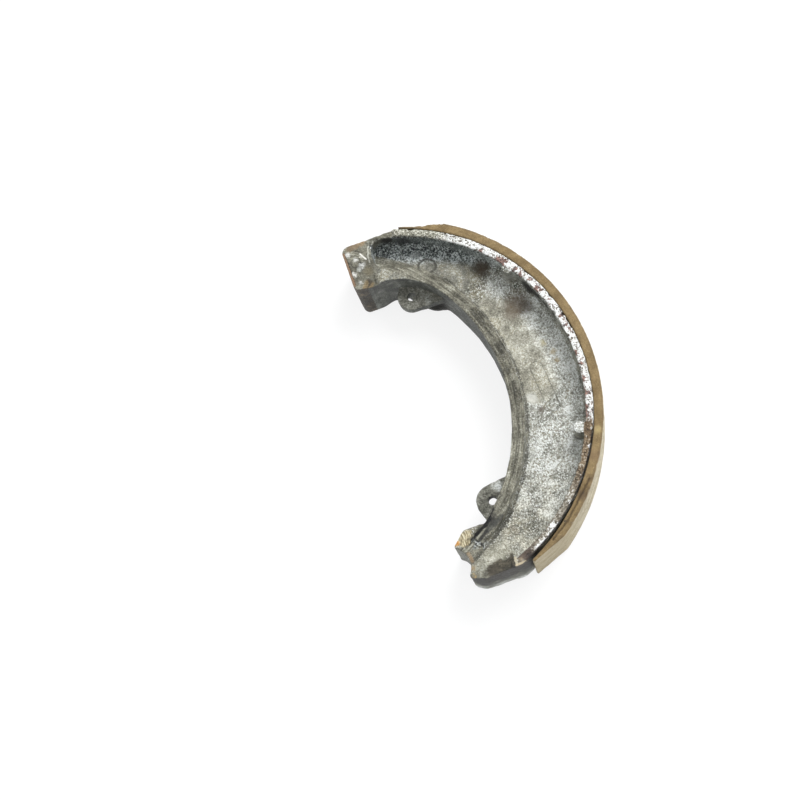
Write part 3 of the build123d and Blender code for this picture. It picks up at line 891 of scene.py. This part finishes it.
def broken_edges(points):
    """How far each point drops, in mm: the torn valley behind the inner prong, and chips at the cam
    block's inner corner and at both ends, each a ball that fades out round its centre."""
    top = ease(points[:, 2], 23.0, 26.0)
    jagged = points[:, :2] + 0.7 * np.column_stack([lattice(points, 1.4, 31), lattice(points, 1.4, 37)])
    torn = 1.5 * (1.0 - ease(away_from_line(jagged, VALLEY), 0.35, 1.3))
    chip = 2.1 * near(points + 0.9 * lattice(points, 1.2, 41)[:, None], (8.3, 53.6, 29.6), 1.6, 2.4)
    nick = 0.8 * near(points, (9.6, 56.4, 29.0), 0.6, 1.5)
    slope = 1.1 * near(points, (6.0, -52.8, 28.5), 1.2, 3.4)
    return (torn + chip + nick + slope) * top + 0.6 * near(points, (4.6, -55.6, 28.5), 0.6, 1.9)


def casting_wear(points, normals):
    """Cast skin and broken edges, a low flange under the cam end's ear that stands into the bore, the
    cam block's heel longer at its foot, and the inner prong's outer corner cut back."""
    flat, height = points[:, :2], points[:, 2]
    shift = normals * cast_skin(points, normals)[:, None]
    bore, reach, turn = polar(flat, BORE_CENTRE)
    flange = ease(turn, 31.5, 37.0) * (1.0 - ease(turn, 42.0, 47.0)) * (1.0 - ease(height, 5.0, 8.5))
    flange *= 1.0 - ease(reach - BORE_RADIUS, 0.2, 2.0)
    shift[:, :2] -= FLANGE_REACH * flange[:, None] * bore / reach[:, None]
    shift[:, 2] -= broken_edges(points)
    foot = (1.0 - ease(height, 2.0, 17.0)) * (1.0 - ease(flat[:, 0], 9.0, 15.0))
    foot *= (1.0 - ease(flat[:, 1], 52.5, 58.0)) * (flat[:, 1] > 0.0)
    shift[:, 1] -= HEEL_GROWTH * foot
    cut = near(np.column_stack([flat, np.zeros(len(flat))]), (5.0, -51.5, 0.0), 0.5, 4.5)
    shift[:, :2] += PRONG_CUT * cut[:, None] * np.array([-0.1, -1.0])
    return shift


def lining_wear(points, normals):
    """Crumbled edges, a worn and chipped thin end, a crack along the lower edge near the anchor and a
    notch in the rubbing edge."""
    flat, height = points[:, :2], points[:, 2]
    _, radius, angle = polar(flat)
    moved = 0.06 * rough(points, 2.4, 51) - 0.05 * np.abs(rough(points, 0.9, 55, 2))
    edge = ease(radius, 78.6, 79.8) * ease(np.abs(height - 15.0), 13.6, 14.8)
    moved -= edge * (0.12 + 0.5 * ease(rough(points, 1.7, 61, 2), 0.25, 0.8))
    moved -= ease(angle, 56.0, 66.0) * 0.35 * ease(rough(points, 2.2, 67, 2), 0.0, 0.7)
    shift = normals * moved[:, None]
    thinned = ease(angle, 59.0, 68.0) * np.clip(radius - 76.5, 0.0, 5.0) * 0.55
    notch = near(points, (66.9, -46.2, 29.0), 0.5, 1.1)
    shift[:, :2] -= flat / radius[:, None] * (thinned + notch)[:, None]
    wobble = flat + 0.35 * np.column_stack([lattice(points, 2.5, 71), lattice(points, 2.5, 73)])
    split = 1.0 - ease(away_from_line(wobble, LINING_CRACK), 0.12, 0.5)
    shift[:, 2] -= 0.9 * split * ease(height, 28.5, 29.5)
    return shift


def plate_wear(points, normals):
    """Rust pits all over the plate."""
    return normals * (-0.12 * np.abs(rough(points, 1.5, 81, 3)))[:, None]


for node, slot, voxel, wear, finish in (
    ("shoe_casting", "casting", 0.43, casting_wear, casting_material()),
    ("friction_lining", "lining", 0.38, lining_wear, lining_material()),
    ("cam_plate", "plate", 0.2, plate_wear, plate_material()),
):
    piece = weathered(node, voxel, wear)
    piece.data.materials.clear()
    piece.data.materials.append(finish)
    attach(piece, "root")
    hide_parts(node)


# Stage: a pale table, a soft lamp from beyond the shoe's upper edge and an even white room
HALF_TABLE = 3.0
TABLE_GLOW = 0.82


def floor_material():
    """Matt off-white table, which rays that show it straight or in metal see as near white."""
    made, g, shader, _ = material("pale_table", 0.0, 0.9)
    place = g.node("TexCoord").outputs["Object"]
    shade = g.noise(place, 9.0, 5.0)
    tone = g.mix(shade, (0.93, 0.93, 0.92), (0.965, 0.965, 0.96))
    link = made.node_tree.links.new
    link(tone, shader.inputs["Base Color"])
    glow = g.node("Emission", {"Strength": 1.0}).outputs[0]
    rays = g.node("LightPath").outputs
    through = g.largest(rays["Is Camera Ray"], rays["Is Glossy Ray"], rays["Is Transmission Ray"])
    seen = g.math("MULTIPLY", through, TABLE_GLOW)
    both = g.node("MixShader", {0: seen, 1: shader.outputs[0], 2: glow}).outputs[0]
    link(both, made.node_tree.nodes["Material Output"].inputs["Surface"])
    return made


mesh = bpy.data.meshes.new("table_top")
corners = [(x * HALF_TABLE, y * HALF_TABLE, 0.0) for x, y in ((-1, -1), (1, -1), (1, 1), (-1, 1))]
mesh.from_pydata(corners, [], [(0, 1, 2, 3)])
floor = bpy.data.objects.new("table_top", mesh)
floor.data.materials.append(floor_material())
floor.location.z = -0.00005
bpy.context.scene.collection.objects.link(floor)

# Table axes in the shoe's frame: the shoe is turned 19.8 degrees and shifted on the table
TURN = math.radians(19.8)
SHIFT = Vector((2.35, -13.48, 0.0))
table = Matrix.Rotation(-TURN, 3, "Z")


def on_table(point):
    """A point given in table axes, in mm, brought into the shoe's frame, in metres."""
    return (table @ (Vector(point) - SHIFT)) * MM


# Camera: its lean from straight down, the lean's heading, its distance in mm, and its focal length
# and picture width in pixels
LEAN, HEADING, DISTANCE = math.radians(16.06), math.radians(63.0), 723.0
FOCAL_PIXELS, PICTURE_PIXELS = 1785.0, 800.0
SENSOR = 36.0
camera = bpy.data.objects.new("camera", bpy.data.cameras.new("camera"))
bpy.context.scene.collection.objects.link(camera)
dx, dy = math.cos(HEADING), -math.sin(HEADING)
lean = Matrix.Rotation(LEAN, 3, Vector((-dy, dx, 0.0)))
back = lean @ Vector((0.0, 0.0, 1.0))
camera.location = on_table(back * DISTANCE)
camera.rotation_mode = "QUATERNION"
camera.rotation_quaternion = (table @ lean).to_quaternion()
camera.data.sensor_width = SENSOR
camera.data.lens = FOCAL_PIXELS / PICTURE_PIXELS * SENSOR
camera.data.clip_start, camera.data.clip_end = 0.02, 20.0
bpy.context.scene.camera = camera


def lamp(name, place, target, width, power):
    """Square soft lamp; place and target are table points in mm, power is in watts."""
    data = bpy.data.lights.new(name, "AREA")
    data.size, data.energy = width, power
    made = bpy.data.objects.new(name, data)
    made.location = on_table(place)
    aim = on_table(target) - made.location
    made.rotation_mode = "QUATERNION"
    made.rotation_quaternion = aim.to_track_quat("-Z", "Y")
    bpy.context.scene.collection.objects.link(made)
    return made


lamp("window", (520, 760, 1150), (0, 0, 0), 0.9, 26.0)
world = bpy.data.worlds.new("room")
world.use_nodes = True
world.node_tree.nodes["Background"].inputs["Color"].default_value = (0.96, 0.98, 1.0, 1.0)
world.node_tree.nodes["Background"].inputs["Strength"].default_value = 0.84
bpy.context.scene.world = world
bpy.context.scene.view_settings.view_transform = "Standard"
